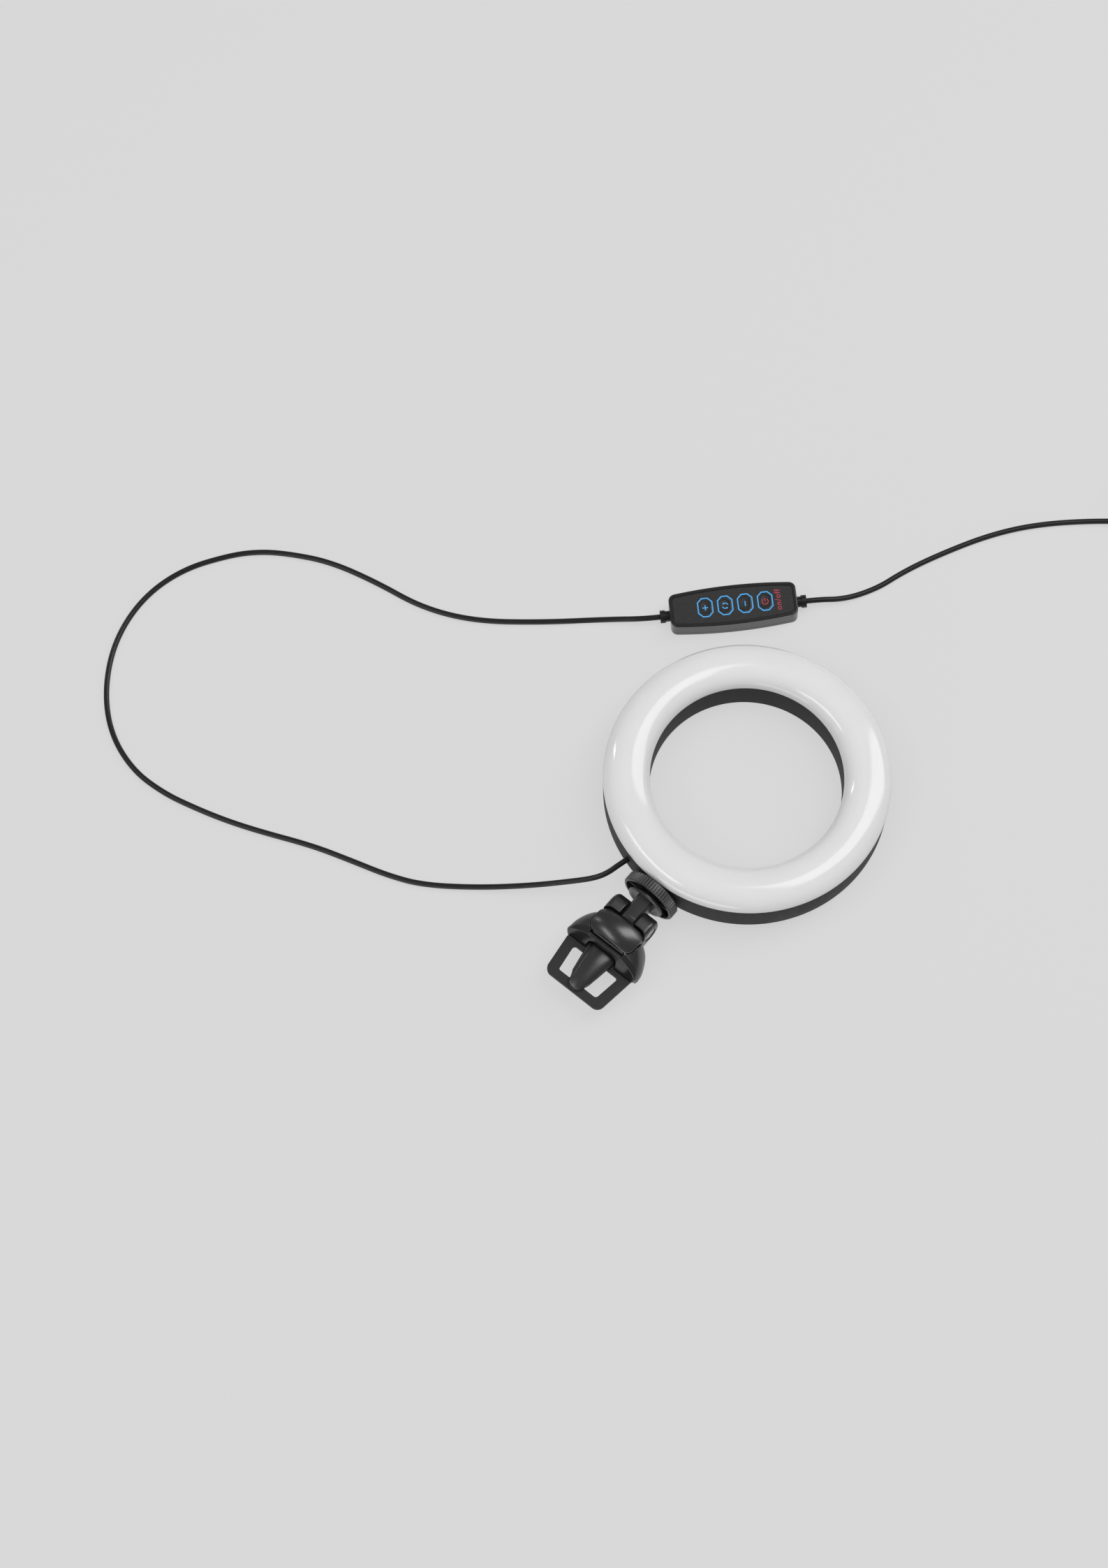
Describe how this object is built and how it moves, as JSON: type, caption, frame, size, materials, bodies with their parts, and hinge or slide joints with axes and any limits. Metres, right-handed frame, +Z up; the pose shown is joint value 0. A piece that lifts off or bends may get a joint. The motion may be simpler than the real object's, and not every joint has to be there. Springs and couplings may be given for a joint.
{
  "type": "clip-on ring light",
  "caption": "Small ring light with a spring clip on a tilting, swivelling neck, an in-line button remote and a powered lead that ends in a flat plug.",
  "frame": {"origin": "on the plane that the light lies on, under the middle of the box of its ring and clip, measured without the lead, the remote and the plug", "axes": "+Z up, out of the plane; -Y towards the clip, along the swivel's axis seen from above; +X across the clip. The lit face leans 3.4 degrees, because the ring's far edge and the lock wheel's rim carry the light."},
  "size_m": [0.4346, 0.5966, 0.0372],
  "materials": {
    "shell_black": "fine textured",
    "diffuser_white": "gloss, milky",
    "board_white": "solder mask",
    "lamp": "phosphor",
    "steel": "plated",
    "spring_steel": "drawn wire",
    "brass": "turned",
    "gold": "plated",
    "wheel_black": "satin",
    "clip_black": "satin textured",
    "visor_black": "semi-gloss",
    "plate_black": "matte",
    "grip_rubber": "matte",
    "remote_black": "semi-gloss",
    "face_black": "fine textured",
    "key_black": "satin",
    "icon_blue": "printed",
    "icon_red": "printed",
    "board_green": "solder mask",
    "switch_grey": "moulded",
    "cord_black": "smooth, semi-gloss",
    "tie_black": "moulded",
    "plug_black": "moulded",
    "plug_white": "moulded"
  },
  "bodies": {
    "ring_head": {"back_shell": "shell_black", "diffuser": "diffuser_white", "led_board": "board_white", "leds": "lamp", "back_screws": "steel", "cord_clamp": "shell_black", "threaded_insert": "brass", "remote_bottom": "remote_black", "remote_top": "remote_black", "remote_face": "face_black", "remote_board": "board_green", "key_switches": "switch_grey", "remote_screws": "steel", "strain_reliefs": "cord_black", "cord_lead": "cord_black", "cord_tail": "cord_black", "cord_coil": "cord_black", "cord_end": "cord_black", "cable_tie": "tie_black", "plug_body": "plug_black", "plug_shell": "steel", "plug_tongue": "plug_white", "plug_contacts": "gold"},
    "wheel_carrier": {"wheel_washer": "steel"},
    "wheel": {"thumbwheel": "wheel_black"},
    "neck": {"stud": "steel", "hinge_tongue": "clip_black"},
    "clip": {"clip_housing": "clip_black", "tilt_bolt": "steel", "tilt_nut": "steel", "front_visor": "visor_black", "jaw_plate": "plate_black", "clip_screws": "steel", "plate_grip": "grip_rubber", "pivot_pin": "steel", "jaw_spring": "spring_steel"},
    "jaw": {"front_jaw": "clip_black", "thumb_pad": "clip_black", "jaw_grip": "grip_rubber"},
    "brighter_button": {"key_brighter": "key_black"},
    "mode_button": {"key_mode": "key_black"},
    "dimmer_button": {"key_dimmer": "key_black"},
    "power_button": {"key_power": "key_black"}
  },
  "joints": [
    {"name": "neck_swivel", "type": "hinge", "parent": "ring_head", "child": "neck", "pos_m": [0, -0.04378, 0.01654], "axis": [0, -0.9982, 0.0599], "range_deg": [-180, 180]},
    {"name": "wheel_slide", "type": "slide", "parent": "ring_head", "child": "wheel_carrier", "axis": [0, -0.9982, 0.0599], "range_m": [0, 0.0009]},
    {"name": "wheel_turn", "type": "hinge", "parent": "wheel_carrier", "child": "wheel", "pos_m": [0, -0.04378, 0.01654], "axis": [0, -0.9982, 0.0599], "range_deg": [0, 255]},
    {"name": "clip_tilt", "type": "hinge", "parent": "neck", "child": "clip", "pos_m": [0, -0.06564, 0.01785], "axis": [1, 0, 0], "range_deg": [-75, 75]},
    {"name": "jaw_open", "type": "hinge", "parent": "clip", "child": "jaw", "pos_m": [0, -0.08371, 0.02214], "axis": [-1, 0, 0], "range_deg": [0, 13], "stiffness_Nm_per_rad": 0.5, "springref_deg": -11.46, "deforming": ["jaw_spring"]},
    {"name": "press_brighter", "type": "slide", "parent": "ring_head", "child": "brighter_button", "axis": [0, 0, -1], "range_m": [0, 0.0004], "stiffness_N_per_m": 2000, "springref_m": -0.0002},
    {"name": "press_mode", "type": "slide", "parent": "ring_head", "child": "mode_button", "axis": [0, 0, -1], "range_m": [0, 0.0004], "stiffness_N_per_m": 2000, "springref_m": -0.0002},
    {"name": "press_dimmer", "type": "slide", "parent": "ring_head", "child": "dimmer_button", "axis": [0, 0, -1], "range_m": [0, 0.0004], "stiffness_N_per_m": 2000, "springref_m": -0.0002},
    {"name": "press_power", "type": "slide", "parent": "ring_head", "child": "power_button", "axis": [0, 0, -1], "range_m": [0, 0.0004], "stiffness_N_per_m": 2000, "springref_m": -0.0002}
  ],
  "couplings": [
    {"joint": "wheel_slide", "follows": "wheel_turn", "m_per_rad": 0.00020213}
  ]
}
